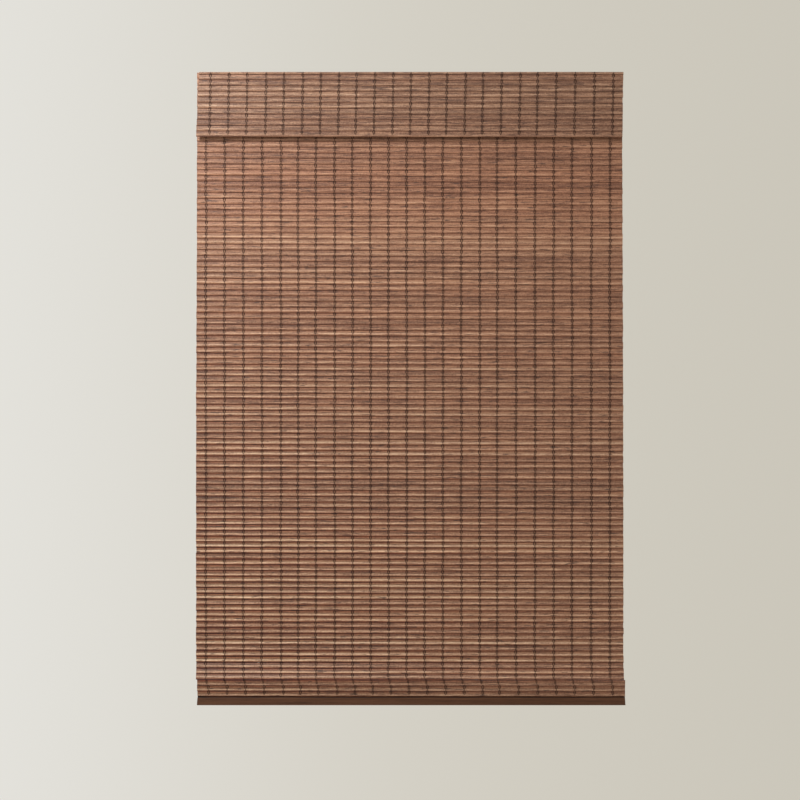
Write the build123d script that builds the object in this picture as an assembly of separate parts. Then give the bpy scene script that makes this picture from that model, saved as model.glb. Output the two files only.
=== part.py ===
from build123d import *
import os
from math import acos, cos, radians, sin

# Cordless roman shade of flat bamboo slats, with a woven valance. All sizes are in millimetres.
# X runs along the head rail, to the right seen from the room. Y points at the window, so the room
# side is -Y. Z is up. The origin is the centre of the bracket screw pattern, on the top faces of
# the brackets, where they meet the lintel.

# Bamboo mat: slats laid like shingles, each with its lower edge in front of the next one
mat_width = 1014.0
valance_setback = 3.0  # from the mat's ends to the valance's
valance_width = mat_width - 2 * valance_setback
slat_pitch = 13.6
valance_pitch = 13.43
slat_thickness = 2.2
slat_lean = 1.8  # how far a slat's lower edge stands in front of its upper edge
slat_joint = 0.9  # depth over which two neighbouring slats meet
edge_ease = 0.6  # how far the rounded lower edge falls back from the crest
crest_from = 0.58  # where the crest starts and ends, as shares of the pitch
crest_to = 0.85
back_flat = 0.35  # share of the pitch over which the back is flat

# Warp threads: columns of chain stitch, spaced wider near the two edges
thread_width = 3.0
thread_thickness = 0.8
first_column_inset = 22.0
last_column_inset = 32.4
left_outer_steps = 4
inner_steps = 12
right_outer_steps = 6
outer_spacing = 44.6
outer_reach = outer_spacing * (left_outer_steps + right_outer_steps)
inner_spacing = (mat_width - first_column_inset - last_column_inset - outer_reach) / inner_steps
valance_thread_shift = 8.0

# Folds: each is an upper and a lower section of slats, hinged on the threads
folds = 5
fold_rows = 9
fixed_rows = 13
tuck_rows = 3  # slats in each half of the short lowest fold
tuck_angle = 15.0  # how far that fold stands open with the shade let down
fold_gap = 0.4  # from a hinge line to the end of a section
line_clearance = 0.15  # from a thread's outer face to the hinge line
tail_shift = 3.0  # the last section and the rail hang this far to the right
mat_top_drop = 2.0

# Valance
valance_rows = 12
valance_top_drop = 0.5
valance_drop = 154.5
batten_thickness = 6.0
batten_height = 24.0
batten_top_drop = 4.5
batten_end_inset = 3.0
screw_after_columns = [1, 7, 14, 20]  # each batten screw stands between two thread columns

# Head rail: a steel U channel with inward lips
rail_setback = 7.0  # from the mat's ends to the rail's
rail_length = mat_width - 2 * rail_setback
rail_depth = 44.0
rail_height = 30.0
rail_wall = 1.2
rail_lip = 8.0
rail_top_drop = 3.6
cap_wall = 2.0
cap_plug = 9.0
cap_plug_wall = 2.0

# Hook and loop tapes between the head rail and the mat
tape_thickness = 1.2
tape_height = 24.0
tape_end_inset = 6.0

# Brackets, screwed up into the lintel, each with a lever that locks the head rail
bracket_inset = 70.0  # from the rail's end to the bracket's middle
bracket_centre = rail_length / 2 - bracket_inset
bracket_length = 64.0
bracket_depth = 40.0
bracket_plate = 1.5
bracket_hole_offset = 18.0
bracket_hole_spacing = 28.0
bracket_hole_radius = 2.25
bracket_rear_tab = 20.0
lever_pivot_offset = 16.0
lever_thickness = 1.5
lever_disc_radius = 8.0
lever_arm_width = 10.0
lever_reach = 30.0
lever_neck_radius = 6.0
lever_foot_length = 36.0
lever_foot_width = 13.0
lever_foot_thickness = 2.5
rivet_radius = 2.5
rivet_head_radius = 4.5
rivet_head = 1.2

# Lift: three spools on a square shaft, each in a cradle over a grommet
cord_inset = 147.0  # from the mat's end to the outer cord
cord_spacing = mat_width / 2 - cord_inset
cord_radius = 0.7
cord_to_mat = 9.0  # from the back of the mat to the cord
spool_radius = 8.0
spool_width = 34.0
flange_radius = 11.0
flange_thickness = 1.5
hub_radius = 5.0
hub_length = 5.0
shaft_side = 5.0
shaft_overrun = 14.0
cradle_base = 2.0
cradle_wall = 3.0
cradle_depth = 26.0
cradle_collar = 3.0
grommet_bore_radius = 1.6
grommet_radius = 3.0
grommet_flange_radius = 4.5
grommet_flange = 1.2

# Spring motor: a steel ribbon runs from the output drum to the storage drum
motor_centre = -cord_spacing / 2
motor_wall = 1.2
drum_width = 14.0
drum_flange = 1.5
drum_hub_length = 2.6
output_core_radius = 5.5
output_hub_radius = 4.5
output_flange_radius = 8.5
storage_core_radius = 4.5
storage_hub_radius = 2.5
storage_flange_radius = 7.8
ribbon_width = 12.0
ribbon_thickness = 0.4
output_wraps = 2.2
storage_wraps = 0.7

# Rings that lead the cords up the back of the mat
ring_radius = 5.0
ring_wire_radius = 1.0
tongue_thickness = 0.5
tongue_width = 5.0

# Bottom rail
bottom_overhang = 1.5  # past the mat at each end
bottom_width = mat_width + 2 * bottom_overhang
bottom_height = 19.0
bottom_depth = 10.0
bottom_round = 1.6
bottom_front_step = 1.8  # how far it stands in front of the hinge line
tail_depth = 7.5
anchor_width = 12.0
anchor_height = 8.0
anchor_reach = 4.0
anchor_flange = 2.0
anchor_flange_height = 15.0
anchor_bore_radius = 1.2
knot_radius = 2.2
screw_radius = 1.5
screw_head_radius = 2.9
screw_head = 1.6
anchor_screw_length = 6.0

running_gap = 0.3
bearing_gap = 0.1

# Places worked out from the sizes above
crest = line_clearance + thread_thickness
recess = crest + slat_lean
back_low = recess + slat_joint
back_high = recess + slat_thickness
fold_depth = back_high + thread_thickness + line_clearance
rail_front = -rail_depth / 2
rail_floor = -rail_top_drop - rail_height + rail_wall
mat_back = rail_front - 2 * tape_thickness
front_plane = mat_back + line_clearance - fold_depth
back_plane = front_plane + fold_depth
fold_length = fold_rows * slat_pitch
tuck_length = tuck_rows * slat_pitch
fixed_end = -mat_top_drop - fixed_rows * slat_pitch
cord_y = back_plane + cord_to_mat
axis_y = cord_y + cord_radius + spool_radius + bearing_gap / 2
axis_z = rail_floor + cradle_base + flange_radius + 2 * running_gap
cord_places = [-cord_spacing, 0.0, cord_spacing]


def block(x_low, x_high, y_low, y_high, z_low, z_high):
    """A box between two corners."""
    size = Box(x_high - x_low, y_high - y_low, z_high - z_low)
    return Pos((x_low + x_high) / 2, (y_low + y_high) / 2, (z_low + z_high) / 2) * size


def rod_x(x_low, x_high, y, z, radius):
    """A round bar along X."""
    bar = Rot(0, 90, 0) * Cylinder(radius, x_high - x_low)
    return Pos((x_low + x_high) / 2, y, z) * bar


def rod_y(x, y_low, y_high, z, radius):
    """A round bar along Y."""
    bar = Rot(90, 0, 0) * Cylinder(radius, y_high - y_low)
    return Pos(x, (y_low + y_high) / 2, z) * bar


def rod_z(x, y, z_low, z_high, radius):
    """An upright round bar."""
    return Pos(x, y, (z_low + z_high) / 2) * Cylinder(radius, z_high - z_low)


def column_places():
    """Where the warp threads stand along the mat, from its left edge."""
    steps = [outer_spacing] * left_outer_steps
    steps += [inner_spacing] * inner_steps
    steps += [outer_spacing] * right_outer_steps
    places = [first_column_inset - mat_width / 2]
    for step in steps:
        places.append(places[-1] + step)
    return places


def slats(rows, pitch, width):
    """A length of mat as one wall. Depth runs along Y from the front hinge plane, drop along -Z."""
    front = []
    back = []
    for row in range(rows):
        top = row * pitch
        front.append((recess, top))
        front.append((crest, top + crest_from * pitch))
        front.append((crest, top + crest_to * pitch))
        front.append((crest + edge_ease, top + pitch))
        back.append((back_high, top))
        back.append((back_high, top + back_flat * pitch))
        back.append((back_low, top + pitch))
    lowest = rows * pitch - fold_gap
    corners = []
    for depth, drop in front + back[::-1]:
        corners.append((depth, -min(max(drop, fold_gap), lowest)))
    outline = make_face(Polyline(*corners, close=True))
    return extrude(Plane.YZ * outline, amount=width / 2, both=True)


def warp(length, shift=0.0):
    """The threads on both faces of a length of mat, in the same frame as its slats."""
    faces = [line_clearance, back_high]
    strips = []
    for x in column_places():
        left = x + shift - thread_width / 2
        for depth in faces:
            strip = block(left, left + thread_width, depth, depth + thread_thickness,
                          fold_gap - length, -fold_gap)
            strips.append(strip)
    return Compound(strips)


def mat_pieces():
    """Every section of the shade's mat with its threads, and the five lines of rings."""
    pieces = {}
    fixed = Pos(0, front_plane, -mat_top_drop)
    pieces["top_mat"] = fixed * slats(fixed_rows, slat_pitch, mat_width)
    pieces["top_threads"] = fixed * warp(fixed_rows * slat_pitch)
    y = front_plane
    z = fixed_end
    for number in range(1, folds + 2):
        is_tuck = number > folds
        rows = tuck_rows if is_tuck else fold_rows
        length = tuck_length if is_tuck else fold_length
        angle = tuck_angle if is_tuck else 0.0
        shift = tail_shift if is_tuck else 0.0
        forward = length * sin(radians(angle)) - fold_depth * cos(radians(angle))
        down = length * cos(radians(angle)) + fold_depth * sin(radians(angle))
        upper = Pos(0, y, z) * Rot(-angle, 0, 0)
        pieces[f"mat_upper_{number}"] = upper * slats(rows, slat_pitch, mat_width)
        pieces[f"threads_upper_{number}"] = upper * warp(length)
        lower = Pos(shift, y - forward, z - down) * Rot(angle, 0, 0) * Pos(0, -fold_depth, 0)
        pieces[f"mat_lower_{number}"] = lower * slats(rows, slat_pitch, mat_width)
        pieces[f"threads_lower_{number}"] = lower * warp(length)
        z -= 2 * down
        if not is_tuck:
            pieces[f"lift_rings_{number}"] = Compound([lift_ring(x, z) for x in cord_places])
    return pieces, z


def lift_ring(x, z):
    """A moulded ring round a cord. Its tongue is held between two slats."""
    hoop = Pos(x, cord_y, z) * Torus(ring_radius, ring_wire_radius)
    tongue = block(x - tongue_width / 2, x + tongue_width / 2, front_plane + recess,
                   cord_y - ring_radius, z - tongue_thickness / 2, z + tongue_thickness / 2)
    return hoop + tongue


def valance_pieces(screw_bores):
    """The valance's mat and threads, cut along the top, on a wooden batten."""
    front = front_plane + line_clearance
    batten_front = front - batten_thickness
    length = valance_rows * valance_pitch
    hang = Pos(0, batten_front + line_clearance - fold_depth, length - valance_drop)
    bottom = -2 * valance_drop
    keep = block(-mat_width, mat_width, batten_front - 2 * fold_depth, batten_front,
                 bottom, -valance_top_drop)
    mat = (hang * slats(valance_rows, valance_pitch, valance_width)) & keep
    threads = []
    for strip in warp(length, valance_thread_shift).solids():
        threads.append((hang * strip) & keep)
    half = valance_width / 2 - batten_end_inset
    top = -batten_top_drop
    batten = block(-half, half, batten_front, front, top - batten_height, top)
    for bore in screw_bores:
        batten -= bore
    for x in screw_places:
        batten -= rod_y(x, batten_front, batten_front + screw_head, screw_height,
                        screw_head_radius + bearing_gap)
    pieces = {}
    pieces["valance_mat"] = mat
    pieces["valance_threads"] = Compound([solid for strip in threads for solid in strip.solids()])
    pieces["valance_batten"] = batten
    return pieces


def batten_screw(x):
    """A pan head screw through the batten and the mat into the head rail."""
    batten_front = front_plane + line_clearance - batten_thickness
    head = rod_y(x, batten_front, batten_front + screw_head, screw_height, screw_head_radius)
    shank = rod_y(x, batten_front, rail_front + rail_wall + 1.5 * screw_radius, screw_height,
                  screw_radius)
    return head + shank


def head_rail(screw_bores):
    """The U channel, with holes in its floor for the grommets."""
    half = rail_length / 2
    top = -rail_top_drop
    bottom = top - rail_height
    channel = block(-half, half, rail_front, -rail_front, bottom, top)
    channel -= block(-half, half, rail_front + rail_wall, -rail_front - rail_wall,
                     rail_floor, top - rail_wall)
    mouth = rail_depth / 2 - rail_wall - rail_lip
    channel -= block(-half, half, -mouth, mouth, top - rail_wall, top)
    for x in cord_places:
        channel -= rod_z(x, cord_y, bottom, rail_floor, grommet_radius + bearing_gap)
    for bore in screw_bores:
        channel -= bore
    return channel


def end_cap(side):
    """A moulded cap with a hollow plug that pushes into the channel."""
    inner = side * rail_length / 2
    top = -rail_top_drop
    plate = block(min(inner, inner + side * cap_wall), max(inner, inner + side * cap_wall),
                  rail_front, -rail_front, top - rail_height, top)
    reach = rail_depth / 2 - rail_wall - bearing_gap
    low = rail_floor + bearing_gap
    high = top - rail_wall - bearing_gap
    plug_from = min(inner, inner - side * cap_plug)
    plug = block(plug_from, plug_from + cap_plug, -reach, reach, low, high)
    plug -= block(plug_from, plug_from + cap_plug, cap_plug_wall - reach, reach - cap_plug_wall,
                  low + cap_plug_wall, high - cap_plug_wall)
    return plate + plug


def bracket(side):
    """A steel plate with two screw holes, a lever pivot and folded edges that rest on the rail."""
    centre = side * bracket_centre
    half = bracket_length / 2
    edge = bracket_depth / 2
    foot = -rail_top_drop + bearing_gap
    plate = block(centre - half, centre + half, -edge, edge, -bracket_plate, 0)
    plate += block(centre - half, centre + half, -edge, bracket_plate - edge, foot, 0)
    tab_end = centre + side * half
    tab_start = tab_end - side * bracket_rear_tab
    plate += block(min(tab_start, tab_end), max(tab_start, tab_end), edge - bracket_plate, edge,
                   foot, 0)
    for y in (-bracket_hole_spacing / 2, bracket_hole_spacing / 2):
        plate -= rod_z(centre + side * bracket_hole_offset, y, -bracket_plate, 0,
                       bracket_hole_radius)
    pivot = centre - side * lever_pivot_offset
    plate -= rod_z(pivot, 0, -bracket_plate, 0, rivet_radius)
    return plate


lever_top = -bracket_plate - running_gap
lever_bottom = lever_top - lever_thickness
foot_top = -rail_top_drop - rail_wall - running_gap
foot_bottom = foot_top - lever_foot_thickness


def lever(side):
    """A lever whose long foot sits under both lips when its arm points at the window."""
    pivot = side * (bracket_centre - lever_pivot_offset)
    arm = rod_z(pivot, 0, lever_bottom, lever_top, lever_disc_radius)
    arm += block(pivot - lever_arm_width / 2, pivot + lever_arm_width / 2, 0, lever_reach,
                 lever_bottom, lever_top)
    neck = rod_z(pivot, 0, foot_top, lever_bottom, lever_neck_radius)
    straight = lever_foot_length / 2 - lever_foot_width / 2
    foot = block(pivot - lever_foot_width / 2, pivot + lever_foot_width / 2, -straight, straight,
                 foot_bottom, foot_top)
    for y in (-straight, straight):
        foot += rod_z(pivot, y, foot_bottom, foot_top, lever_foot_width / 2)
    whole = arm + neck + foot
    return whole - rod_z(pivot, 0, foot_bottom, lever_top, rivet_radius + bearing_gap)


def lever_rivet(side):
    """The pin that a lever turns on, with its head under the lever's foot."""
    pivot = side * (bracket_centre - lever_pivot_offset)
    head_top = foot_bottom - bearing_gap
    pin = rod_z(pivot, 0, head_top, 0, rivet_radius)
    return pin + rod_z(pivot, 0, head_top - rivet_head, head_top, rivet_head_radius)


def shaft_bore(x_low, x_high):
    """The square hole that a spool or a drum has for the shaft."""
    half = shaft_side / 2 + bearing_gap
    return block(x_low, x_high, axis_y - half, axis_y + half, axis_z - half, axis_z + half)


def cord_spool(x):
    """A flanged spool with a hub at each end."""
    half = spool_width / 2
    outer = half + flange_thickness
    end = outer + hub_length
    spool = rod_x(x - half, x + half, axis_y, axis_z, spool_radius)
    spool += rod_x(x - outer, x - half, axis_y, axis_z, flange_radius)
    spool += rod_x(x + half, x + outer, axis_y, axis_z, flange_radius)
    spool += rod_x(x - end, x + end, axis_y, axis_z, hub_radius)
    return spool - shaft_bore(x - end, x + end)


def spool_cradle(x):
    """A base with two walls that carry a spool's hubs."""
    inner = spool_width / 2 + flange_thickness + running_gap
    outer = inner + cradle_wall
    front = axis_y - cradle_depth / 2
    back = axis_y + cradle_depth / 2
    cradle = block(x - outer, x + outer, front, back, rail_floor, rail_floor + cradle_base)
    reach = hub_radius + cradle_collar
    for low in (x - outer, x + inner):
        high = low + cradle_wall
        cradle += block(low, high, axis_y - reach, axis_y + reach, rail_floor, axis_z)
        cradle += rod_x(low, high, axis_y, axis_z, reach)
        cradle -= rod_x(low, high, axis_y, axis_z, hub_radius + bearing_gap)
    return cradle - rod_z(x, cord_y, rail_floor, rail_floor + cradle_base, grommet_bore_radius)


def grommet(x):
    """A flanged bush in the head rail's floor."""
    underside = rail_floor - rail_wall
    bush = rod_z(x, cord_y, underside, rail_floor, grommet_radius)
    bush += rod_z(x, cord_y, underside - grommet_flange, underside, grommet_flange_radius)
    return bush - rod_z(x, cord_y, underside - grommet_flange, rail_floor, grommet_bore_radius)


storage_y = axis_y + output_flange_radius + storage_flange_radius + 3 * running_gap
motor_inner = drum_width / 2 + drum_flange + running_gap
motor_outer = motor_inner + motor_wall
motor_front = axis_y - output_flange_radius - 2 * running_gap - motor_wall
motor_back = storage_y + storage_flange_radius + 2 * running_gap + motor_wall
motor_top = axis_z + output_flange_radius + 2 * running_gap


def motor_housing():
    """An open tray whose side walls carry both drums."""
    low = motor_centre - motor_outer
    high = motor_centre + motor_outer
    tray = block(low, high, motor_front, motor_back, rail_floor, motor_top)
    tray -= block(low + motor_wall, high - motor_wall, motor_front + motor_wall,
                  motor_back - motor_wall, rail_floor + motor_wall, motor_top)
    tray -= rod_x(low, high, axis_y, axis_z, output_hub_radius + bearing_gap)
    return tray - rod_x(low, high, storage_y, axis_z, storage_hub_radius + bearing_gap)


def motor_cover():
    """The motor's lid, with a rim that drops inside the tray."""
    low = motor_centre - motor_outer
    high = motor_centre + motor_outer
    lid = block(low, high, motor_front, motor_back, motor_top, motor_top + motor_wall)
    inset = motor_wall + bearing_gap
    rim = block(low + inset, high - inset, motor_back - inset - motor_wall, motor_back - inset,
                motor_top - motor_wall, motor_top)
    return lid + rim


def drum(y, core, flange, hub):
    """A flanged drum with hubs that run in the motor's walls."""
    half = drum_width / 2
    outer = half + drum_flange
    end = outer + drum_hub_length
    x = motor_centre
    shape = rod_x(x - half, x + half, y, axis_z, core)
    shape += rod_x(x - outer, x - half, y, axis_z, flange)
    shape += rod_x(x + half, x + outer, y, axis_z, flange)
    return shape + rod_x(x - end, x + end, y, axis_z, hub)


def spring_ribbon():
    """The ribbon's turns on both drums and the stretch that crosses between them."""
    low = motor_centre - ribbon_width / 2
    high = low + ribbon_width
    output_inner = output_core_radius + bearing_gap
    storage_inner = storage_core_radius + bearing_gap
    output_outer = output_inner + output_wraps
    storage_outer = storage_inner + storage_wraps
    coils = rod_x(low, high, axis_y, axis_z, output_outer)
    coils -= rod_x(low, high, axis_y, axis_z, output_inner)
    other = rod_x(low, high, storage_y, axis_z, storage_outer)
    other -= rod_x(low, high, storage_y, axis_z, storage_inner)
    # the stretch lies on the tangent that crosses between the two coils
    near = output_outer - ribbon_thickness / 2
    far = storage_outer - ribbon_thickness / 2
    turn = acos((near + far) / (storage_y - axis_y))
    start = (axis_y + near * cos(turn), axis_z - near * sin(turn))
    end = (storage_y - far * cos(turn), axis_z + far * sin(turn))
    nudge_y = ribbon_thickness / 2 * cos(turn)
    nudge_z = ribbon_thickness / 2 * sin(turn)
    corners = [(start[0] + nudge_y, start[1] - nudge_z), (end[0] + nudge_y, end[1] - nudge_z),
               (end[0] - nudge_y, end[1] + nudge_z), (start[0] - nudge_y, start[1] + nudge_z)]
    strip = make_face(Polyline(*corners, close=True))
    stretch = extrude(Plane.YZ.offset(low) * strip, amount=ribbon_width)
    return coils + other + stretch


def tape(back, screw_bores):
    """A strip of hook or loop tape whose back face lies at the given Y."""
    half = rail_length / 2 - tape_end_inset
    top = -rail_top_drop - (rail_height - tape_height) / 2
    strip = block(-half, half, back - tape_thickness, back, top - tape_height, top)
    for bore in screw_bores:
        strip -= bore
    return strip


def bottom_pieces(hinge_z):
    """The wooden rail, the slat glued in its groove, and the cords' anchors on its back."""
    top = hinge_z - fold_gap
    front = front_plane - bottom_front_step
    back = front + bottom_depth
    half = bottom_width / 2
    bar = block(tail_shift - half, tail_shift + half, front, back, top - bottom_height, top)
    long_edges = bar.edges().filter_by(Axis.X)
    bar = fillet(long_edges.group_by(Axis.Z)[0], bottom_round)
    tail_half = mat_width / 2
    tail = block(tail_shift - tail_half, tail_shift + tail_half, front_plane + recess,
                 front_plane + back_high, top - tail_depth, top)
    bar -= tail
    anchors = []
    screws = []
    middle = top - bottom_height / 2
    for x in cord_places:
        body = block(x - anchor_width / 2, x + anchor_width / 2, back, cord_y + anchor_reach,
                     middle, middle + anchor_height)
        body += block(x - anchor_width / 2, x + anchor_width / 2, back, back + anchor_flange,
                      middle + anchor_height - anchor_flange_height, middle + anchor_height)
        body -= rod_z(x, cord_y, middle, middle + anchor_height, anchor_bore_radius)
        screw_z = middle - (anchor_flange_height - anchor_height) / 2
        head_back = back + anchor_flange + screw_head
        screw = rod_y(x, back + anchor_flange, head_back, screw_z, screw_head_radius)
        screw += rod_y(x, back - anchor_screw_length, back + anchor_flange, screw_z, screw_radius)
        body -= rod_y(x, back, back + anchor_flange, screw_z, screw_radius)
        bar -= rod_y(x, back - anchor_screw_length, back, screw_z, screw_radius)
        anchors.append(body)
        screws.append(screw)
    pieces = {}
    pieces["bottom_rail"] = bar
    pieces["tail_slat"] = tail
    pieces["cord_anchors"] = Compound(anchors)
    pieces["anchor_screws"] = Compound(screws)
    pieces["lift_cords"] = Compound([lift_cord(x, middle) for x in cord_places])
    return pieces


def lift_cord(x, anchor_bottom):
    """A cord, straight from its spool to the knot under its anchor."""
    line = rod_z(x, cord_y, anchor_bottom - knot_radius, axis_z, cord_radius)
    knot = Pos(x, cord_y, anchor_bottom - knot_radius) * Sphere(knot_radius)
    return line + knot


columns = column_places()
screw_places = [(columns[at] + columns[at + 1]) / 2 for at in screw_after_columns]
screw_height = -batten_top_drop - batten_height / 2
screw_bores = []
for screw_x in screw_places:
    near_y = front_plane - batten_thickness
    screw_bores.append(rod_y(screw_x, near_y, 0.0, screw_height, screw_radius))

pieces, last_hinge = mat_pieces()
for mat_bore in screw_bores:
    pieces["top_mat"] -= mat_bore
pieces.update(valance_pieces(screw_bores))
pieces["batten_screws"] = Compound([batten_screw(x) for x in screw_places])
pieces["head_rail"] = head_rail(screw_bores)
pieces["hook_tape"] = tape(rail_front, screw_bores)
pieces["loop_tape"] = tape(rail_front - tape_thickness, screw_bores)
for side_name, side in (("left", -1), ("right", 1)):
    pieces[f"head_rail_cap_{side_name}"] = end_cap(side)
    pieces[f"bracket_{side_name}"] = bracket(side)
    pieces[f"lever_{side_name}"] = lever(side)
pieces["lever_rivets"] = Compound([lever_rivet(side) for side in (-1, 1)])
shaft_half = cord_spacing + spool_width / 2 + flange_thickness + hub_length + shaft_overrun
pieces["lift_shaft"] = block(-shaft_half, shaft_half, axis_y - shaft_side / 2,
                             axis_y + shaft_side / 2, axis_z - shaft_side / 2,
                             axis_z + shaft_side / 2)
pieces["cord_spools"] = Compound([cord_spool(x) for x in cord_places])
pieces["spool_cradles"] = Compound([spool_cradle(x) for x in cord_places])
pieces["cord_grommets"] = Compound([grommet(x) for x in cord_places])
pieces["motor_housing"] = motor_housing()
pieces["motor_cover"] = motor_cover()
output = drum(axis_y, output_core_radius, output_flange_radius, output_hub_radius)
pieces["output_drum"] = output - shaft_bore(motor_centre - rail_depth, motor_centre + rail_depth)
pieces["storage_drum"] = drum(storage_y, storage_core_radius, storage_flange_radius,
                              storage_hub_radius)
pieces["spring_ribbon"] = spring_ribbon()
pieces.update(bottom_pieces(last_hinge))

os.makedirs("parts", exist_ok=True)
for name, piece in pieces.items():
    export_step(piece, f"parts/{name}.step")

print("front plane", round(front_plane, 3), "back plane", round(back_plane, 3))
print("first hinge z", round(fixed_end, 3), "last hinge z", round(last_hinge, 3))
print("cord y", round(cord_y, 3), "shaft y", round(axis_y, 3), "shaft z", round(axis_z, 3))
print("storage drum y", round(storage_y, 3))
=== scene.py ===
import bpy
import numpy as np
from math import cos, pi, radians, sin
from mathutils import Matrix, Vector
from random import Random


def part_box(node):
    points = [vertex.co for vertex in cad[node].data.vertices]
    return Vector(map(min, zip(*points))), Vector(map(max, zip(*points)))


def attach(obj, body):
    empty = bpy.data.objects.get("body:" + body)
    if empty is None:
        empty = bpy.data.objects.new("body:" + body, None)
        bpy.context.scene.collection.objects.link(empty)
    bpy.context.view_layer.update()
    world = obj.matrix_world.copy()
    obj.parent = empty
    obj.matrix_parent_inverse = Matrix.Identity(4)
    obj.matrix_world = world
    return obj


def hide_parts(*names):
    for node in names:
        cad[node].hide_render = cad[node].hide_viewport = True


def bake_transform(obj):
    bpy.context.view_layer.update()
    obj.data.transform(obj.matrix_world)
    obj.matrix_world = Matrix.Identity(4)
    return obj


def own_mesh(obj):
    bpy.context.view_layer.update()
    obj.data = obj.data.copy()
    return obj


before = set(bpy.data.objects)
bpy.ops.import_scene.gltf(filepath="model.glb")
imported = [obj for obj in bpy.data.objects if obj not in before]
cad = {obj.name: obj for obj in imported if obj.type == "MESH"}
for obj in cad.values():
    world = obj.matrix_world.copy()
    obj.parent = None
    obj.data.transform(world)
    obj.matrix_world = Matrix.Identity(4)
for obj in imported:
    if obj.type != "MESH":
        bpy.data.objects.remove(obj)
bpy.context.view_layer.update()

# Head rail: a U channel rolled from thin steel, with lips turned in along its mouth and white baked
# enamel all over. It is clipped up into two brackets, so only its back and underside ever show.


def put(tree, kind, inputs=None, **settings):
    """A step of a finish. Each input takes a value or the output of an earlier step."""
    step = tree.nodes.new("ShaderNode" + kind)
    for name, value in settings.items():
        setattr(step, name, value)
    for name, value in (inputs or {}).items():
        if isinstance(value, bpy.types.NodeSocket):
            tree.links.new(value, step.inputs[name])
        else:
            step.inputs[name].default_value = value
    return step.outputs


def start_finish(name, **values):
    """A new finish, with its shader and the place on the piece that its pattern is laid from."""
    finish = bpy.data.materials.new(name)
    finish.use_nodes = True
    shader = finish.node_tree.nodes["Principled BSDF"]
    for socket, value in values.items():
        shader.inputs[socket.replace("_", " ")].default_value = value
    return finish, finish.node_tree, shader, put(finish.node_tree, "TexCoord")["Object"]


def shades(tree, amount, *stops):
    """Turns an amount into a colour, by stops of place and colour."""
    ramp = tree.nodes.new("ShaderNodeValToRGB")
    tree.links.new(amount, ramp.inputs["Fac"])
    while len(ramp.color_ramp.elements) < len(stops):
        ramp.color_ramp.elements.new(1.0)
    for element, (place, colour) in zip(ramp.color_ramp.elements, stops):
        element.position = place
        element.color = (*colour, 1.0)
    return ramp.outputs["Color"]


def between(tree, amount, low, high, new_low, new_high):
    """Carries an amount from one range to another."""
    return put(tree, "MapRange", {"Value": amount, "From Min": low, "From Max": high,
                                  "To Min": new_low, "To Max": new_high})["Result"]


def spread(tree, place, scale, detail=3.0, roughness=0.5):
    """Soft uneven spots, as many to the metre along each axis as the scale says."""
    stretched = put(tree, "Mapping", {"Vector": place, "Scale": scale})["Vector"]
    return put(tree, "TexNoise", {"Vector": stretched, "Scale": 1.0, "Detail": detail,
                                  "Roughness": roughness})["Fac"]


def raise_surface(tree, shader, height, depth, strength=1.0):
    """Gives a finish its small relief, at most as deep as the depth."""
    relief = put(tree, "Bump", {"Height": height, "Distance": depth, "Strength": strength})
    tree.links.new(relief["Normal"], shader.inputs["Normal"])


def dress(names, finish):
    """Gives CAD nodes a finish."""
    for name in names:
        for held in cad[name].material_slots:
            held.material = finish


enamel, tree, shader, place = start_finish("rail_enamel", Coat_Weight=0.25, Coat_Roughness=0.15)
tint = spread(tree, place, (3, 9, 9))
tree.links.new(shades(tree, tint, (0.3, (0.70, 0.69, 0.65)), (0.7, (0.76, 0.75, 0.72))),
               shader.inputs["Base Color"])
tree.links.new(between(tree, spread(tree, place, (60, 60, 60)), 0.3, 0.7, 0.30, 0.44),
               shader.inputs["Roughness"])
raise_surface(tree, shader, spread(tree, place, (700, 700, 700)), 0.00005, 0.5)
dress(["head_rail"], enamel)

# Moulded parts of the lift: rail end caps, cord spools in their cradles, grommets, the motor's box
# and lid, and both drums. All are white nylon, matt from the mould, and they snap or drop in place.

nylon, tree, shader, place = start_finish("white_nylon")
tree.links.new(shades(tree, spread(tree, place, (40, 40, 40)), (0.3, (0.72, 0.71, 0.66)),
                      (0.7, (0.79, 0.78, 0.74))), shader.inputs["Base Color"])
tree.links.new(between(tree, spread(tree, place, (300, 300, 300)), 0.3, 0.7, 0.42, 0.58),
               shader.inputs["Roughness"])
raise_surface(tree, shader, spread(tree, place, (2500, 2500, 2500), 2.0), 0.00004, 0.6)
dress(["head_rail_cap_left", "head_rail_cap_right", "cord_spools", "spool_cradles",
       "cord_grommets", "motor_housing", "motor_cover", "output_drum", "storage_drum"], nylon)

# Steel parts: brackets with their levers and rivets, the square lift shaft, and the screws. They
# are pressed or drawn, then zinc plated, which leaves a faint cloudy bloom on the sheen.

zinc, tree, shader, place = start_finish("zinc_plate", Metallic=1.0)
bloom = spread(tree, place, (130, 130, 130), 5.0, 0.6)
tree.links.new(shades(tree, bloom, (0.35, (0.52, 0.53, 0.55)), (0.65, (0.70, 0.71, 0.72))),
               shader.inputs["Base Color"])
tree.links.new(between(tree, bloom, 0.3, 0.7, 0.45, 0.28), shader.inputs["Roughness"])
raise_surface(tree, shader, spread(tree, place, (60, 1800, 1800)), 0.00003, 0.5)
dress(["bracket_left", "bracket_right", "lever_left", "lever_right", "lever_rivets",
       "lift_shaft", "batten_screws", "anchor_screws"], zinc)

# Spring ribbon: hardened steel strip, tempered to blue, wound on the storage drum and run across
# to the output drum.

tempered, tree, shader, place = start_finish("tempered_steel", Metallic=1.0)
heat = spread(tree, place, (25, 90, 90))
tree.links.new(shades(tree, heat, (0.3, (0.20, 0.23, 0.30)), (0.7, (0.36, 0.36, 0.37))),
               shader.inputs["Base Color"])
tree.links.new(between(tree, heat, 0.3, 0.7, 0.22, 0.36), shader.inputs["Roughness"])
dress(["spring_ribbon"], tempered)

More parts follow.
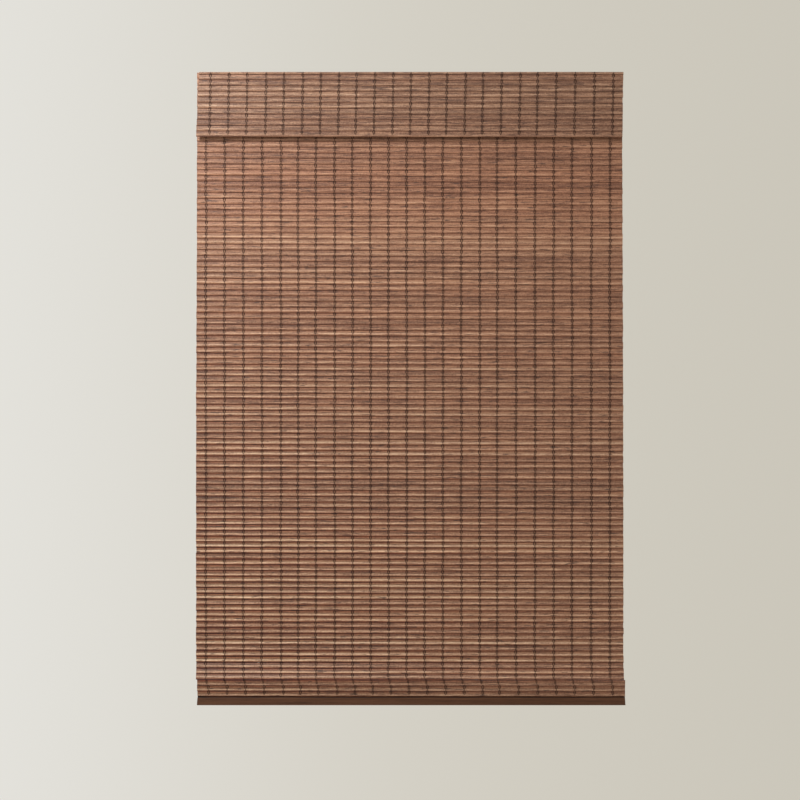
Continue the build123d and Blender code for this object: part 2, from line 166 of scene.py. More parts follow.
# Tapes: hook tape glued to the head rail's front, and loop tape sewn to the back of the mat. They
# are woven nylon with a dense pile about half a millimetre high.

tape, tree, shader, place = start_finish("fastening_tape", Roughness=0.95, Sheen_Weight=0.35)
pile = put(tree, "TexVoronoi", {"Vector": place, "Scale": 900.0})["Distance"]
tree.links.new(shades(tree, pile, (0.1, (0.72, 0.69, 0.63)), (0.8, (0.46, 0.43, 0.38))),
               shader.inputs["Base Color"])
raise_surface(tree, shader, pile, 0.0004, 0.9)
dress(["hook_tape", "loop_tape"], tape)

# Mat: bamboo slats about 14 mm high, stained a warm brown and laid like shingles, the lower edge
# of each standing in front of the next. Each is a little different in shape, tone and length.

# sizes of the mat in millimetres; the tuck is the short last fold, and its lower half hangs a
# little to the right
mm = 0.001
front_plane = -30.15
mat_top = -2.0
first_fold = -178.8
fold_depth = 5.9
slat_pitch = 13.6
slat_height = 13.85
folds = 6
top_rows = 13
fold_rows = 9
tuck_rows = 3
tuck_angle = 15.0
tail_shift = 3.0
slat_cuts = 40

bamboo, tree, shader, place = start_finish("bamboo_slats", Specular_IOR_Level=0.42)
kind = put(tree, "Attribute", attribute_name="slat_kind")["Vector"]
tone, redness, shift = put(tree, "SeparateXYZ", {"Vector": kind}).values()
share = put(tree, "Attribute", attribute_name="slat_share")["Fac"]
# how strongly each slat shows its painted highlight and painted shade
painted_light_contrast = put(tree, "Attribute", attribute_name="slat_painted_light_contrast")["Fac"]
own_start = put(tree, "CombineXYZ", {"X": shift, "Y": tone, "Z": redness})["Vector"]
own_start = put(tree, "VectorMath", {0: own_start, "Scale": 7.0}, operation="SCALE")["Vector"]
own_place = put(tree, "VectorMath", {0: place, 1: own_start}, operation="ADD")["Vector"]
fibre = spread(tree, own_place, (30, 500, 1000), 4.0, 0.7)
streak = spread(tree, own_place, (6, 150, 420), 3.0, 0.55)
patch = spread(tree, own_place, (9, 10, 18), 3.0, 0.5)
fleck = spread(tree, own_place, (36, 90, 380), 2.0, 0.5)
pore = spread(tree, own_place, (260, 420, 420), 2.0, 0.6)


def total(tree, *parts):
    """Adds amounts, each as much as the number beside it."""
    amount = 0.0
    for value, weight in parts:
        amount = put(tree, "Math", {0: value, 1: weight, 2: amount},
                     operation="MULTIPLY_ADD")["Value"]
    return amount


depth_of_stain = total(tree, (fibre, 2.2), (streak, 1.3), (pore, 0.9), (patch, 0.20), (tone, 0.34),
                       (1.0, -1.99))
ground = shades(tree, depth_of_stain, (0.05, (0.100, 0.044, 0.026)),
                (0.32, (0.205, 0.101, 0.061)), (0.56, (0.320, 0.172, 0.108)),
                (0.9, (0.445, 0.274, 0.179)))
warm = put(tree, "Mix", {"Factor": redness, 6: ground, 7: (1.06, 0.86, 0.78, 1.0)},
           data_type="RGBA", blend_type="MULTIPLY")[2]
fleck_amount = between(tree, fleck, 0.625, 0.69, 0.0, 0.85)
marked = put(tree, "Mix", {"Factor": fleck_amount, 6: warm, 7: (0.060, 0.026, 0.018, 1.0)},
             data_type="RGBA")[2]
# the painted highlight on the crest lies a little higher or lower on each slat
highlight_move = 0.075
squared = put(tree, "Math", {0: share, 1: 2.0}, operation="POWER")["Value"]
hump = total(tree, (share, 4.0), (squared, -4.0))
offset = put(tree, "Math", {0: hump, 1: between(tree, shift, 0.0, 1.0, -highlight_move, highlight_move)},
             operation="MULTIPLY")["Value"]
moved_share = total(tree, (share, 1.0), (offset, 1.0))
# painted light across a slat from its top to its lip, on a flat slat and on a ridged one:
# painted shade at the top under the slat above and at the lip, and a painted highlight on the crest
painted_light_flat_slat = shades(tree, moved_share, (0.00, (0.53, 0.38, 0.29)), (0.08, (0.77, 0.62, 0.52)),
              (0.16, (0.78, 0.68, 0.60)), (0.32, (0.72, 0.67, 0.59)), (0.40, (0.83, 0.82, 0.74)),
              (0.48, (1.03, 1.09, 1.06)), (0.57, (1.10, 1.20, 1.21)), (0.65, (1.16, 1.28, 1.33)),
              (0.73, (1.02, 1.05, 1.05)), (0.81, (0.91, 0.86, 0.78)), (0.90, (0.66, 0.50, 0.40)),
              (1.00, (0.52, 0.35, 0.26)))
painted_light_ridged_slat = shades(tree, moved_share, (0.00, (0.40, 0.25, 0.17)), (0.08, (0.68, 0.50, 0.39)),
                (0.16, (0.73, 0.60, 0.50)), (0.32, (0.61, 0.55, 0.45)), (0.40, (0.76, 0.75, 0.65)),
                (0.48, (0.99, 1.08, 1.03)), (0.57, (1.26, 1.44, 1.45)), (0.65, (1.51, 1.75, 1.84)),
                (0.73, (1.03, 1.08, 1.08)), (0.81, (0.87, 0.81, 0.70)), (0.90, (0.50, 0.33, 0.24)),
                (1.00, (0.33, 0.19, 0.12)))
painted_light_across = put(tree, "Mix", {"Factor": tone, 6: painted_light_flat_slat, 7: painted_light_ridged_slat}, data_type="RGBA")[2]
# painted light contrast: how far the painted highlight and shade stand from the slat's mean colour
painted_light_across = put(tree, "Mix", {"Factor": painted_light_contrast, 6: (0.835, 0.80, 0.74, 1.0), 7: painted_light_across},
             data_type="RGBA", clamp_factor=False)[2]
painted_light_across = put(tree, "VectorMath", {0: painted_light_across, 1: (0.14, 0.08, 0.05)},
             operation="MAXIMUM")["Vector"]
# the stained colour is multiplied by the painted highlight and painted shade across the slat
stain_times_painted_light = put(tree, "Mix", {"Factor": 1.0, 6: marked, 7: painted_light_across}, data_type="RGBA",
              blend_type="MULTIPLY")[2]
tree.links.new(stain_times_painted_light, shader.inputs["Base Color"])
tree.links.new(between(tree, streak, 0.3, 0.7, 0.60, 0.48), shader.inputs["Roughness"])
raise_surface(tree, shader, total(tree, (fibre, 0.6), (streak, 0.6)), 0.0004, 0.6)

# one slat's outline, as depth behind the front hinge plane and drop below its row's top
slat_outline = [(3.05, -1.3), (2.8, 0.3), (1.75, 4.4), (1.05, 7.3), (0.93, 8.7), (1.0, 10.4),
                (1.25, 12.2), (1.6, 13.45), (2.05, slat_height), (2.62, 13.72), (2.85, 12.2),
                (4.3, 5.0), (4.75, 0.4), (4.45, -1.3)]
# two more points by each bend of the front keep its flats flat and its bends soft
front_depth = 2.9
slat_edge = []
for at, (depth, drop) in enumerate(slat_outline):
    next_depth, next_drop = slat_outline[(at + 1) % len(slat_outline)]
    on_front = depth < front_depth and next_depth < front_depth
    for part in ((0.0, 0.15, 0.85) if on_front else (0.0,)):
        slat_edge.append((depth + part * (next_depth - depth), drop + part * (next_drop - drop)))
bpy.ops.object.select_all(action="DESELECT")
bpy.ops.mesh.primitive_circle_add(vertices=len(slat_edge), radius=1.0, fill_type="NGON",
                                  rotation=(0, pi / 2, 0))
slat = bpy.context.object
bpy.ops.object.transform_apply()
for vertex, (depth, drop) in zip(slat.data.vertices, slat_edge):
    vertex.co = (-0.5, depth, -drop)
bpy.ops.object.mode_set(mode="EDIT")
bpy.ops.mesh.select_all(action="SELECT")
bpy.ops.mesh.extrude_region_move(TRANSFORM_OT_translate={"value": (1.0, 0.0, 0.0)})
bpy.ops.mesh.select_mode(type="EDGE")
bpy.ops.mesh.select_all(action="DESELECT")
bpy.ops.object.mode_set(mode="OBJECT")
for edge in slat.data.edges:
    ends = [slat.data.vertices[at].co.x for at in edge.vertices]
    edge.select = abs(ends[0] - ends[1]) > 0.5
bpy.ops.object.mode_set(mode="EDIT")
bpy.ops.mesh.subdivide(number_cuts=slat_cuts)
bpy.ops.mesh.select_all(action="SELECT")
bpy.ops.mesh.normals_make_consistent(inside=False)
bpy.ops.object.mode_set(mode="OBJECT")
slat.data.materials.append(bamboo)
bpy.ops.object.shade_smooth_by_angle(angle=radians(38))
slat.name = "slat"


def join(parts, name):
    """Joins separate parts into one piece."""
    bpy.ops.object.select_all(action="DESELECT")
    for part in parts:
        part.select_set(True)
    bpy.context.view_layer.objects.active = parts[0]
    bpy.ops.object.join()
    parts[0].name = parts[0].data.name = name
    return parts[0]


def copy_of(model):
    """A copy with its own mesh."""
    twin = model.copy()
    twin.data = model.data.copy()
    bpy.context.scene.collection.objects.link(twin)
    return twin


def points_of(piece):
    """The places of a piece's points, one row each."""
    places = np.zeros(len(piece.data.vertices) * 3)
    piece.data.vertices.foreach_get("co", places)
    return places.reshape(-1, 3)


def set_points(piece, places):
    """Moves a piece's points to new places, one row each."""
    piece.data.vertices.foreach_set("co", np.asarray(places, float).ravel())
    piece.data.update()


def sway(along, chance, reach):
    """A gentle wander along X, never the same twice."""
    wander = np.zeros_like(along)
    for length, part in ((310.0, 0.5), (127.0, 0.3), (53.0, 0.2)):
        wander += part * np.sin(2 * pi * (along / length + chance.random()))
    return reach * wander


# where slats differ: the crest, the line that a slat rocks about, and the part down to its lip
crest_drop, crest_spread, crest_depth = 8.9, 2.6, 2.7
rock_drop = 6.8
lower_drop, lower_length = 6.0, 7.8
# how much weaker the painted highlight and shade get per millimetre to the right
painted_light_contrast_fade = 0.0006
mat_ceiling = -0.0004


def lay_slats(name, rows, pitch, hang, ends, seed, slopes, stain_and_painted_light, red, painted_light_contrast):
    """Slats row by row in a section's own frame, then hung in place. ends(z) gives both ends,
    stain_and_painted_light(z) how light a slat is, with painted light and shade on some rows,
    red(z) how red, and painted_light_contrast(z) how strong the painted highlight on its crest and
    the painted shade at its top and lip are, weaker to the right. The rows run down to the right
    by the first slope, and by the last at the foot."""
    chance = Random(seed)
    shape = points_of(slat)
    laid = []
    for row in range(rows):
        strip = copy_of(slat)
        along, depth, drop = shape[:, 0].copy(), shape[:, 1].copy(), -shape[:, 2].copy()
        z = (hang @ Matrix.Translation((0, 0, -(row + 0.5) * pitch))).translation.z
        left, right = ends(z)
        left += chance.uniform(-0.7, 0.5)
        right += chance.uniform(-0.5, 0.7)
        along = left + (along + 0.5) * (right - left)
        on_front = depth < crest_depth
        crest = np.exp(-((drop - crest_drop) / crest_spread) ** 2) * on_front
        depth += crest * (chance.uniform(-0.28, 0.3) + sway(along, chance, 0.10))
        depth += (drop - rock_drop) * chance.uniform(-0.016, 0.016) + sway(along, chance, 0.10)
        lower = np.clip((drop - lower_drop) / lower_length, 0, 1)
        drop += lower * (chance.uniform(-0.25, 0.12) + sway(along, chance, 0.22))
        drop += np.interp(row * pitch + drop, [0, rows * pitch], slopes) * along
        spot = strip.data.attributes.new("slat_share", "FLOAT", "POINT")
        spot.data.foreach_set("value", np.clip(-shape[:, 2] / slat_height, 0, 1).astype(np.float32))
        mark = strip.data.attributes.new("slat_kind", "FLOAT_VECTOR", "POINT")
        values = [chance.betavariate(2, 2) + stain_and_painted_light(z), red(z) + 0.3 * chance.random(),
                  chance.random()]
        mark.data.foreach_set("vector", np.tile(values, len(shape)).astype(np.float32))
        # painted highlight and shade, stronger on the left and weaker to the right
        painted_light_contrast_mark = strip.data.attributes.new("slat_painted_light_contrast", "FLOAT", "POINT")
        painted_light_contrast_mark.data.foreach_set("value", (painted_light_contrast(z) * (1 - painted_light_contrast_fade * along)).astype(np.float32))
        drop = drop * pitch / slat_pitch + row * pitch
        set_points(strip, np.stack([along, depth, -drop], 1))
        laid.append(strip)
    mat = join(laid, name)
    mat.data.transform(Matrix.Scale(mm, 4) @ hang)
    places = points_of(mat)
    places[:, 2] = np.minimum(places[:, 2], mat_ceiling)
    set_points(mat, places)
    return mat


def shade_painted_light(z):
    """How light the shade's slats are: the first below the valance are painted lighter, painted
    light that lifts the shade under the valance, and the short last fold is painted darker, as
    painted shade under the fold above it."""
    return np.interp(z, [-1446, -1444, -225, -165], [-0.15, 0.0, 0.0, 0.24])


def shade_red(z):
    """How red the shade's slats are: the upper ones are redder."""
    return np.interp(z, [-1100, -480, -200], [0.30, 0.42, 0.68])


def shade_painted_light_contrast(z):
    """How strong the painted highlight on the crest and the painted shade at the top and lip are:
    more on the lower slats.
    """
    return np.interp(z, [-1430, -1060, -830, -640, -440, -230],
                     [1.45, 1.35, 1.02, 0.90, 0.58, 0.36])


def shade_ends(z):
    """Where a slat of the shade ends, at the left and at the right."""
    left = np.interp(z, [-1440, -779, -155], [-508.0, -508.2, -505.6])
    right = np.interp(z, [-1440, -779, -155], [507.6, 506.9, 504.6])
    return left, right


# each section of the mat: its two nodes, its body, its rows, and where it hangs
sections = [("top_mat", "top_threads", "head_rail", top_rows,
             Matrix.Translation((0, front_plane, mat_top)))]
z = first_fold
for fold in range(1, folds + 1):
    tuck = fold == folds
    rows = tuck_rows if tuck else fold_rows
    length = rows * slat_pitch
    angle = radians(tuck_angle if tuck else 0.0)
    shift_x = tail_shift if tuck else 0.0
    forward = length * sin(angle) - fold_depth * cos(angle)
    down = length * cos(angle) + fold_depth * sin(angle)
    upper = Matrix.Translation((0, front_plane, z)) @ Matrix.Rotation(-angle, 4, "X")
    lower = (Matrix.Translation((shift_x, front_plane - forward, z - down))
             @ Matrix.Rotation(angle, 4, "X") @ Matrix.Translation((0, -fold_depth, 0)))
    sections.append((f"mat_upper_{fold}", f"threads_upper_{fold}", f"fold_{fold}_upper", rows,
                     upper))
    sections.append((f"mat_lower_{fold}", f"threads_lower_{fold}", f"fold_{fold}_lower", rows,
                     lower))
    z -= 2 * down
last_fold = z
last = len(sections) - 1

# how much the rows drop to the right, from the top of each section to the foot of the last
slopes = [0.0033] * 5 + [0.0030, 0.0028, 0.0026, 0.0024, 0.0021, 0.0018, 0.0014, 0.0010, 0.0010]
for at, (node, _, body, rows, hang) in enumerate(sections):
    mat = lay_slats("slats_" + node[4:] if at else "slats_top", rows, slat_pitch, hang,
                    shade_ends, 100 + at, slopes[at:at + 2], shade_painted_light, shade_red, shade_painted_light_contrast)
    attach(mat, body)
    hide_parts(node)

# Warp threads: dark brown cotton, chain-stitched round every slat in 23 columns. A link lies over
# each joint between two slats, and where the mat folds it bends across the hinge with the slats.

cotton, tree, shader, place = start_finish("warp_cotton", Roughness=0.95, Specular_IOR_Level=0.2)
turn = put(tree, "Mapping", {"Vector": place, "Rotation": (0, radians(38), 0)})["Vector"]
twist = put(tree, "TexWave", {"Vector": turn, "Scale": 260.0, "Distortion": 0.6},
            bands_direction="Z")["Fac"]
tree.links.new(shades(tree, twist, (0.1, (0.020, 0.008, 0.006)), (0.9, (0.058, 0.027, 0.020))),
               shader.inputs["Base Color"])
raise_surface(tree, shader, twist, 0.00015, 0.8)

columns = [-485, -441, -396, -352, -307, -266, -224, -179, -137, -94, -51, -8, 35, 78, 122, 166,
           207, 252, 297, 341, 385, 431, 475]
# a link's rings in order round it: half width, drop from the joint, depth, half thickness
front_link = [(2.3, 3.2, 1.35, 0.66), (2.2, 0.6, 1.1, 0.68), (1.4, -1.8, 0.6, 0.58),
              (0.0, -3.9, 0.45, 0.36), (-1.4, -1.8, 0.6, 0.58), (-2.2, 0.6, 1.1, 0.68),
              (-2.3, 3.2, 1.35, 0.66), (-1.7, 5.5, 0.85, 0.60), (-0.5, 7.5, 0.45, 0.44),
              (0.0, 9.3, 0.35, 0.34), (0.5, 7.5, 0.45, 0.44), (1.7, 5.5, 0.85, 0.60)]
back_link = [(1.9, 0.0, 5.25, 0.55), (1.2, -4.6, 5.2, 0.55), (0.0, -7.4, 5.45, 0.5),
             (-1.2, -4.6, 5.2, 0.55), (-1.9, 0.0, 5.25, 0.55), (-1.2, 4.6, 5.2, 0.55),
             (0.0, 7.4, 5.05, 0.5), (1.2, 4.6, 5.2, 0.55)]


def stitch_link(rings, thicker=1.0):
    """One link of the chain, from a ring whose sections are moved to their places."""
    bpy.ops.object.select_all(action="DESELECT")
    bpy.ops.mesh.primitive_torus_add(major_segments=len(rings), minor_segments=4, major_radius=1.0,
                                     minor_radius=0.2)
    link = bpy.context.object
    middle = sum(ring[1] for ring in rings) / len(rings)
    wide = max(ring[0] for ring in rings)
    tall = max(ring[1] for ring in rings) - middle
    places = []
    for x, drop, depth, thick in rings:
        thick *= thicker
        out_x, out_z = x / wide ** 2, -(drop - middle) / tall ** 2
        size = (out_x ** 2 + out_z ** 2) ** 0.5
        out_x, out_z = out_x / size, out_z / size
        for side, away in ((1, 0), (0, -1), (-1, 0), (0, 1)):
            places.append((x + side * out_x * thick, depth + away * thick * 0.85,
                           -drop + side * out_z * thick))
    set_points(link, places)
    bpy.ops.object.mode_set(mode="EDIT")
    bpy.ops.mesh.select_all(action="SELECT")
    bpy.ops.mesh.normals_make_consistent(inside=False)
    bpy.ops.object.mode_set(mode="OBJECT")
    bpy.ops.object.shade_smooth()
    link.data.materials.append(cotton)
    return link


links = [stitch_link(front_link), stitch_link(back_link)]


def stitch(name, joints, pitch, hangs, places, lean, slope_at, seed, wide=1.0, kinds=links):
    """Links at the given joints in every column, with the rows' slope at each joint. The part of a
    link above its joint takes the first hang, and the rest the last."""
    chance = Random(seed)
    made = []
    for x in places:
        drift = chance.uniform(-0.8, 0.8)
        for joint in joints:
            for link in kinds:
                one = copy_of(link)
                shape = points_of(one)
                shape[:, 0] *= chance.uniform(0.88, 1.14) * wide
                shape[:, 0] += x + drift + chance.uniform(-0.35, 0.35) + lean * joint * pitch
                shape[:, 2] += chance.uniform(-0.3, 0.3) - slope_at(joint) * x
                shape[:, 2] = shape[:, 2] * pitch / slat_pitch - joint * pitch
                above = shape[:, 2] > 0
                for rows_of, hang in ((above, hangs[0]), (~above, hangs[-1])):
                    turned = np.array(hang)
                    shape[rows_of] = shape[rows_of] @ turned[:3, :3].T + turned[:3, 3]
                set_points(one, shape * mm)
                made.append(one)
    return join(made, name)


for at, (_, node, body, rows, hang) in enumerate(sections):
    shown = [x + (tail_shift if at == last else 0) for x in columns]
    chain = stitch("chain_" + node[8:] if at else "chain_top", range(1, rows), slat_pitch, [hang],
                   shown, 0.0, lambda joint: np.interp(joint, [0, rows], slopes[at:at + 2]),
                   300 + at)
    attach(chain, body)
    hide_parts(node)

# the links over a fold take the upper section's hang above their joint and the lower's below it,
# and in the last fold they are narrower; the joint above the bottom rail has back links alone
narrower = 0.6
for at in range(last):
    (_, _, body_above, rows, hang), (_, _, body_below, _, hang_below) = sections[at:at + 2]
    foot = hang @ Matrix.Translation((0, 0, -rows * slat_pitch))
    chain = stitch(f"fold_stitch_{at}", [0], slat_pitch, [foot, hang_below], columns, 0.0,
                   lambda joint: slopes[at + 1], 400 + at, narrower if at == last - 1 else 1.0)
    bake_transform(chain)

foot = sections[last][-1] @ Matrix.Translation((0, 0, -tuck_rows * slat_pitch))
rail_hang = Matrix.Translation((tail_shift, front_plane, last_fold))
chain = stitch("tail_stitch", [0], slat_pitch, [foot, rail_hang], columns, 0.0,
               lambda joint: 0.0, 412, kinds=links[1:])
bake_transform(chain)

# Bottom rail: a stained hardwood slat with its edges sanded round, cut a little wider at the foot.
# The mat's last slat is glued in its groove, and the cord anchors are screwed to its back.

stain_and_painted_light, tree, shader, place = start_finish("rail_stain_and_groove_shade", Specular_IOR_Level=0.18)
pores = spread(tree, place, (30, 900, 900), 3.0, 0.6)
grain = spread(tree, place, (5, 120, 160), 4.0, 0.6)
up = put(tree, "SeparateXYZ", {"Vector": place})["Z"]
# painted shade: the rail is painted darkest in the groove at its top, and on the slat that is
# glued there, where shade falls under the mat
groove_low, groove_high = -1.4866, -1.4856
painted_groove_shade = between(tree, up, groove_low, groove_high, 0.0, -0.45)
amount = total(tree, (pores, 0.6), (grain, 1.0), (painted_groove_shade, 1.0), (1.0, -0.3))
tree.links.new(shades(tree, amount, (0.1, (0.016, 0.006, 0.004)), (0.25, (0.052, 0.021, 0.010)),
                      (0.5, (0.084, 0.034, 0.016)), (0.85, (0.116, 0.050, 0.025))),
               shader.inputs["Base Color"])
tree.links.new(between(tree, pores, 0.3, 0.7, 0.56, 0.42), shader.inputs["Roughness"])
raise_surface(tree, shader, pores, 0.0002, 0.5)


def bar(low, high):
    """A square bar between two corners."""
    bpy.ops.object.select_all(action="DESELECT")
    bpy.ops.mesh.primitive_cube_add(size=1.0, location=(low + high) / 2, scale=high - low)
    bpy.ops.object.transform_apply()
    return bpy.context.object


def finish_bar(piece, name, width, segments):
    """Rounds a bar's edges, names it and gives it the rail's stain with its painted groove shade.
    """
    bevel = piece.modifiers.new("round", "BEVEL")
    bevel.width, bevel.segments = width, segments
    bpy.ops.object.modifier_apply(modifier="round")
    piece.name = piece.data.name = name
    piece.data.materials.append(stain_and_painted_light)


wider_foot = 0.0008
shorter_top = 0.0006
rail_low, rail_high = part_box("bottom_rail")
rail = bar(rail_low, rail_high)
for vertex in rail.data.vertices:
    outward = 1 if vertex.co.x > 0 else -1
    at_foot = vertex.co.z < (rail_low.z + rail_high.z) / 2
    vertex.co.x += outward * (wider_foot if at_foot else -shorter_top)
finish_bar(rail, "rail_bar", 0.0008, 3)
bpy.ops.object.shade_smooth_by_angle(angle=radians(50))
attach(rail, "bottom_rail")
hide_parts("bottom_rail")

tail_front, tail_back = 2.9, 4.2
tail_rise = 0.0018
tail_low, tail_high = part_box("tail_slat")
tail_low.y, tail_high.y = (front_plane + tail_front) * mm, (front_plane + tail_back) * mm
tail_high.z += tail_rise
tail = bar(tail_low, tail_high)
finish_bar(tail, "tail_strip", 0.0003, 2)
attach(tail, "bottom_rail")
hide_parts("tail_slat")
dress(["cord_anchors"], nylon)

# Rings: small hoops of natural nylon, moulded with a tongue that is held between two slats. They
# lead the cords up the back.

natural, tree, shader, place = start_finish("ring_nylon", Roughness=0.32, IOR=1.53)
tree.links.new(shades(tree, spread(tree, place, (90, 90, 90)), (0.3, (0.66, 0.62, 0.52)),
                      (0.7, (0.74, 0.71, 0.62))), shader.inputs["Base Color"])
raise_surface(tree, shader, spread(tree, place, (900, 900, 900)), 0.00005, 0.5)
dress([f"lift_rings_{line}" for line in range(1, 6)], natural)

# Lift cords: braided polyester 1.4 mm thick, in taupe. Each runs from its spool through a grommet
# and five rings to a knot under its anchor, and a few turns stay wound on the spool.

braid, tree, shader, place = start_finish("lift_cord", Roughness=0.75, Sheen_Weight=0.2)
strands = []
for turn_angle in (52, -52):
    slant = put(tree, "Mapping", {"Vector": place, "Rotation": (0, radians(turn_angle), 0)})
    strands.append(put(tree, "TexWave", {"Vector": slant["Vector"], "Scale": 240.0},
                       bands_direction="Z")["Fac"])
weave = put(tree, "Math", {0: strands[0], 1: strands[1]}, operation="MAXIMUM")["Value"]
tree.links.new(shades(tree, weave, (0.4, (0.075, 0.045, 0.030)), (0.95, (0.20, 0.125, 0.085))),
               shader.inputs["Base Color"])
raise_surface(tree, shader, weave, 0.0002, 0.8)

cord_radius = 0.0007
cord_places = (-0.360, 0.0, 0.360)
cord_low, cord_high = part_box("lift_cords")
cord_y = (cord_low.y + cord_high.y) / 2
knot_z = cord_low.z + 0.0022
knot_radius, knot_strand = 0.0012, 0.0008
spool_turns = 4
turn_radius, turn_step, turn_slant = 0.0088, 0.0016, 0.08
shaft_y, shaft_z = -0.0065, -0.0188
lines = []
knots = []
wraps = []
for x in cord_places:
    bpy.ops.object.select_all(action="DESELECT")
    bpy.ops.mesh.primitive_cylinder_add(vertices=10, radius=cord_radius, depth=cord_high.z - knot_z,
                                        location=(x, cord_y, (cord_high.z + knot_z) / 2))
    lines.append(bpy.context.object)
    bpy.ops.object.transform_apply()
    bpy.ops.object.shade_smooth_by_angle(angle=radians(60))
    for turned, size in ((0.0, 1.0), (1.2, 0.92), (2.3, 0.86)):
        bpy.ops.object.select_all(action="DESELECT")
        bpy.ops.mesh.primitive_torus_add(major_segments=16, minor_segments=8,
                                         major_radius=knot_radius, minor_radius=knot_strand,
                                         location=(x, cord_y, knot_z),
                                         rotation=(turned, 0.5 * turned, turned))
        bpy.ops.transform.resize(value=(size, size, size))
        bpy.ops.object.transform_apply()
        bpy.ops.object.shade_smooth()
        knots.append(bpy.context.object)
    for coil in range(spool_turns):
        bpy.ops.object.select_all(action="DESELECT")
        bpy.ops.mesh.primitive_torus_add(major_segments=40, minor_segments=6,
                                         major_radius=turn_radius, minor_radius=cord_radius,
                                         location=(x + turn_step * coil, shaft_y, shaft_z),
                                         rotation=(0, pi / 2 + turn_slant, 0))
        bpy.ops.object.transform_apply()
        bpy.ops.object.shade_smooth()
        wraps.append(bpy.context.object)
cords = join(lines, "cord_lines")
cords.data.materials.append(braid)
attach(cords, "head_rail")
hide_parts("lift_cords")
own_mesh(cords)
tied = join(knots, "cord_knots")
tied.data.materials.append(braid)
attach(tied, "bottom_rail")
wound = join(wraps, "cord_wraps")
wound.data.materials.append(braid)
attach(wound, "lift_shaft")

# Valance: one more length of the same mat, hung in front on a pine batten that is screwed through
# to the head rail. Its top slat is sawn through level with the rail, and it hangs a touch askew.

pine, tree, shader, place = start_finish("batten_pine", Roughness=0.6)
rings_of = put(tree, "Mapping", {"Vector": place, "Scale": (1.2, 60, 90)})["Vector"]
years = put(tree, "TexWave", {"Vector": rings_of, "Scale": 1.4, "Distortion": 5.0, "Detail": 3.0},
            bands_direction="Z")["Fac"]
tree.links.new(shades(tree, years, (0.2, (0.62, 0.42, 0.22)), (0.8, (0.44, 0.26, 0.12))),
               shader.inputs["Base Color"])
raise_surface(tree, shader, spread(tree, place, (20, 700, 700)), 0.0002, 0.5)
dress(["valance_batten"], pine)

valance_pitch = 13.43
valance_rows = 12
valance_foot = -154.5
valance_front = -41.75
valance_hang = Matrix.Translation((0, valance_front, valance_rows * valance_pitch + valance_foot))
valance_columns = [-475, -431, -387, -343, -300, -256, -212, -170, -128, -84, -41, 2, 44, 86, 130,
                   172, 216, 260, 301, 346, 391, 437, 482]
thread_shift = 1.5
thread_lean = -0.019
valance_slope = 0.001
saw_height = -0.0005


def valance_ends(z):
    """Where a slat of the valance ends, at the left and at the right."""
    return np.interp(z, [-154, 0], [-507.2, -500.2]), np.interp(z, [-154, 0], [503.8, 506.0])


def valance_lightness(z):
    """How light a slat of the valance is: the top ones are darker."""
    return np.interp(z, [-150, 0], [-0.18, -0.60])


def saw_top(piece):
    """Saws a piece of the valance level at its top."""
    bpy.ops.object.select_all(action="DESELECT")
    piece.select_set(True)
    bpy.context.view_layer.objects.active = piece
    bpy.ops.object.mode_set(mode="EDIT")
    bpy.ops.mesh.select_all(action="SELECT")
    bpy.ops.mesh.bisect(plane_co=(0, 0, saw_height), plane_no=(0, 0, 1), clear_outer=True,
                        use_fill=True)
    bpy.ops.object.mode_set(mode="OBJECT")


valance = lay_slats("valance_slats", valance_rows, valance_pitch, valance_hang, valance_ends, 611,
                    (valance_slope, valance_slope), valance_lightness, lambda z: 0.0, lambda z: 0.55)
saw_top(valance)
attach(valance, "head_rail")
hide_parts("valance_mat")
valance_chain = stitch("valance_chain", range(0, valance_rows), valance_pitch, [valance_hang],
                       [x + thread_shift for x in valance_columns], thread_lean,
                       lambda joint: valance_slope, 612, 0.95)
saw_top(valance_chain)
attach(valance_chain, "head_rail")
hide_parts("valance_threads")

for model in (slat, *links):
    bpy.data.objects.remove(model)

# Studio: a pale floor, a soft lamp high on the left with a weaker one below it, a weak fill on the
# right, one lamp behind, and an even sky that lights the part. The camera and reflections see a
# pale backdrop instead, painted lighter on the left and darker to the right as painted light.

bpy.ops.object.select_all(action="DESELECT")
bpy.ops.mesh.primitive_plane_add(size=5.6, location=(0, -1.0, -2.4))
floor = bpy.context.object
floor.name = "studio_floor"
paper = start_finish("floor_paper", Roughness=0.9, Base_Color=(0.80, 0.775, 0.71, 1.0))[0]
floor.data.materials.append(paper)


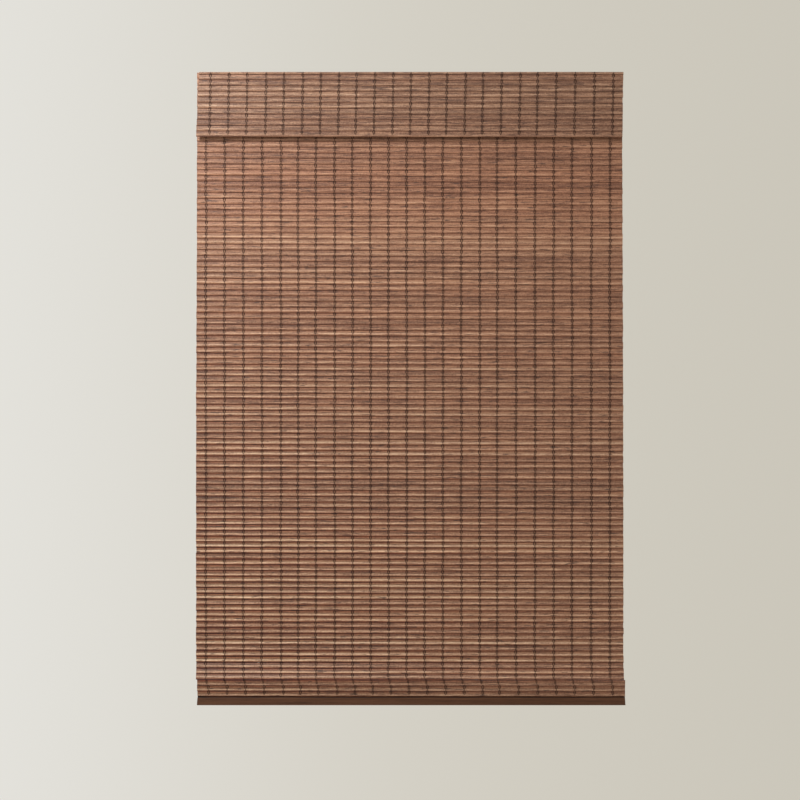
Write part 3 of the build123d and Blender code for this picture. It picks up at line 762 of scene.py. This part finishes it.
def lamp(name, place, aim, size, power, colour):
    """A square soft lamp that faces a point."""
    light = bpy.data.lights.new(name, "AREA")
    light.size, light.energy, light.color = size, power, colour
    holder = bpy.data.objects.new(name, light)
    bpy.context.scene.collection.objects.link(holder)
    holder.location = place
    holder.rotation_euler = (Vector(aim) - Vector(place)).to_track_quat("-Z", "Y").to_euler()


lamp("soft_key", (-1.4, -1.2, 0.95), (0, 0, -0.6), 0.4, 60, (0.96, 1.03, 1.07))
lamp("soft_side", (-2.2, -1.9, -0.9), (0, 0, -0.7), 1.2, 13, (0.97, 1.02, 1.06))
lamp("soft_fill", (2.0, -3.4, -0.4), (0, 0, -0.8), 2.0, 4, (1.0, 0.97, 0.93))
lamp("soft_back", (1.2, 2.6, 1.2), (0, 0, -0.7), 2.0, 60, (1.0, 0.99, 0.97))

world = bpy.data.worlds.new("studio")
bpy.context.scene.world = world
world.use_nodes = True
tree = world.node_tree
sky = tree.nodes["Background"]
path = put(tree, "LightPath")
seen = put(tree, "Math", {0: path["Is Camera Ray"], 1: path["Is Glossy Ray"]},
           operation="MAXIMUM")["Value"]
seen = put(tree, "Math", {0: seen, 1: path["Is Transmission Ray"]}, operation="MAXIMUM")["Value"]
# painted light on the backdrop: lighter on the left, darker to the right
way = put(tree, "SeparateXYZ", {"Vector": put(tree, "TexCoord")["Generated"]})["X"]
backdrop_painted_lit_left = shades(tree, between(tree, way, -0.17, 0.17, 0.0, 1.0), (0.0, (0.80, 0.79, 0.75)),
                  (0.45, (0.655, 0.625, 0.55)), (1.0, (0.585, 0.555, 0.48)))
backdrop_painted_lit_left.node.color_ramp.interpolation = "B_SPLINE"
tree.links.new(put(tree, "Mix", {"Factor": seen, 6: (0.49, 0.465, 0.43, 1.0), 7: backdrop_painted_lit_left},
                   data_type="RGBA")[2], sky.inputs["Color"])

# the camera looks level, and the picture is as wide as view_width at the mat's distance from it
mat_distance = 5.97
view_width = 1.9013
lens = bpy.data.cameras.new("camera")
lens.sensor_width = 36.0
lens.lens = 36.0 * mat_distance / view_width
camera = bpy.data.objects.new("camera", lens)
bpy.context.scene.collection.objects.link(camera)
camera.location = (-0.0236, -6.0, -0.7788)
camera.rotation_euler = (pi / 2, 0, 0)
bpy.context.scene.camera = camera
bpy.context.scene.view_settings.view_transform = "Standard"
